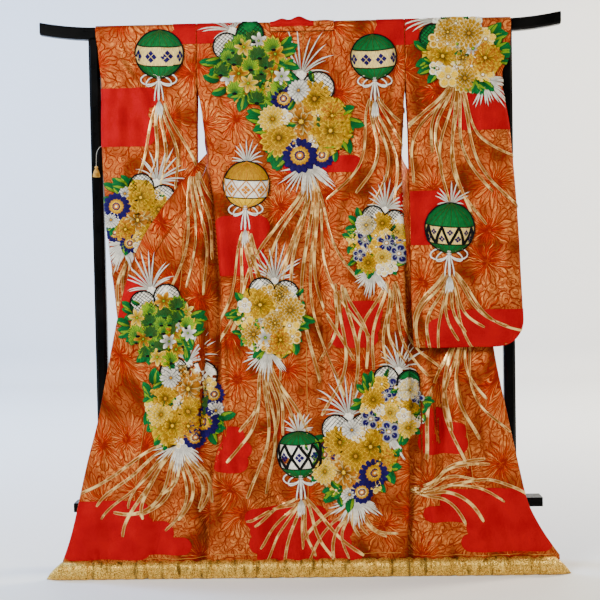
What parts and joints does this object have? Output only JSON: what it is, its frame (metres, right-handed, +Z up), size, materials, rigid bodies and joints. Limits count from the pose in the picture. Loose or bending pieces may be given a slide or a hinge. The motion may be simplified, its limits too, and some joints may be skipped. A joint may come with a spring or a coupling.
{
  "type": "uchikake wedding kimono on a kimono stand",
  "caption": "Lined uchikake wedding kimono with a padded hem, spread over the bar of a limbless kimono stand, back to the front, its two fronts swept out to the sides on the floor.",
  "frame": {"origin": "middle of the bounding box on the floor; the stand's bar runs along X, 31 mm behind it", "axes": "+X along the bar towards the sleeve with the round corner in view, -Y the way the garment's back faces, +Z up"},
  "size_m": [1.7, 0.3426, 1.7974],
  "materials": {
    "brocade": "salmon-orange silk brocade with metallic weft, satin sheen",
    "red_silk": "plain red lining silk",
    "gold_brocade": "glittering gold brocade",
    "black_lacquer": "glossy black lacquer"
  },
  "bodies": {
    "root": {"back_left": "brocade", "back_right": "brocade", "collar_back": "red_silk", "collar_left": "brocade", "collar_right": "brocade", "front_left": "brocade", "front_right": "brocade", "fuki_back_left": "gold_brocade", "fuki_back_right": "gold_brocade", "fuki_left": "gold_brocade", "fuki_right": "gold_brocade", "okumi_left": "brocade", "okumi_right": "brocade", "sleeve_left_back": "brocade", "sleeve_left_front": "brocade", "sleeve_right_back": "brocade", "sleeve_right_front": "brocade", "stand_bar": "black_lacquer", "stand_foot_left": "black_lacquer", "stand_foot_right": "black_lacquer", "stand_post_left": "black_lacquer", "stand_post_right": "black_lacquer", "stand_rail": "black_lacquer"}
  },
  "joints": []
}
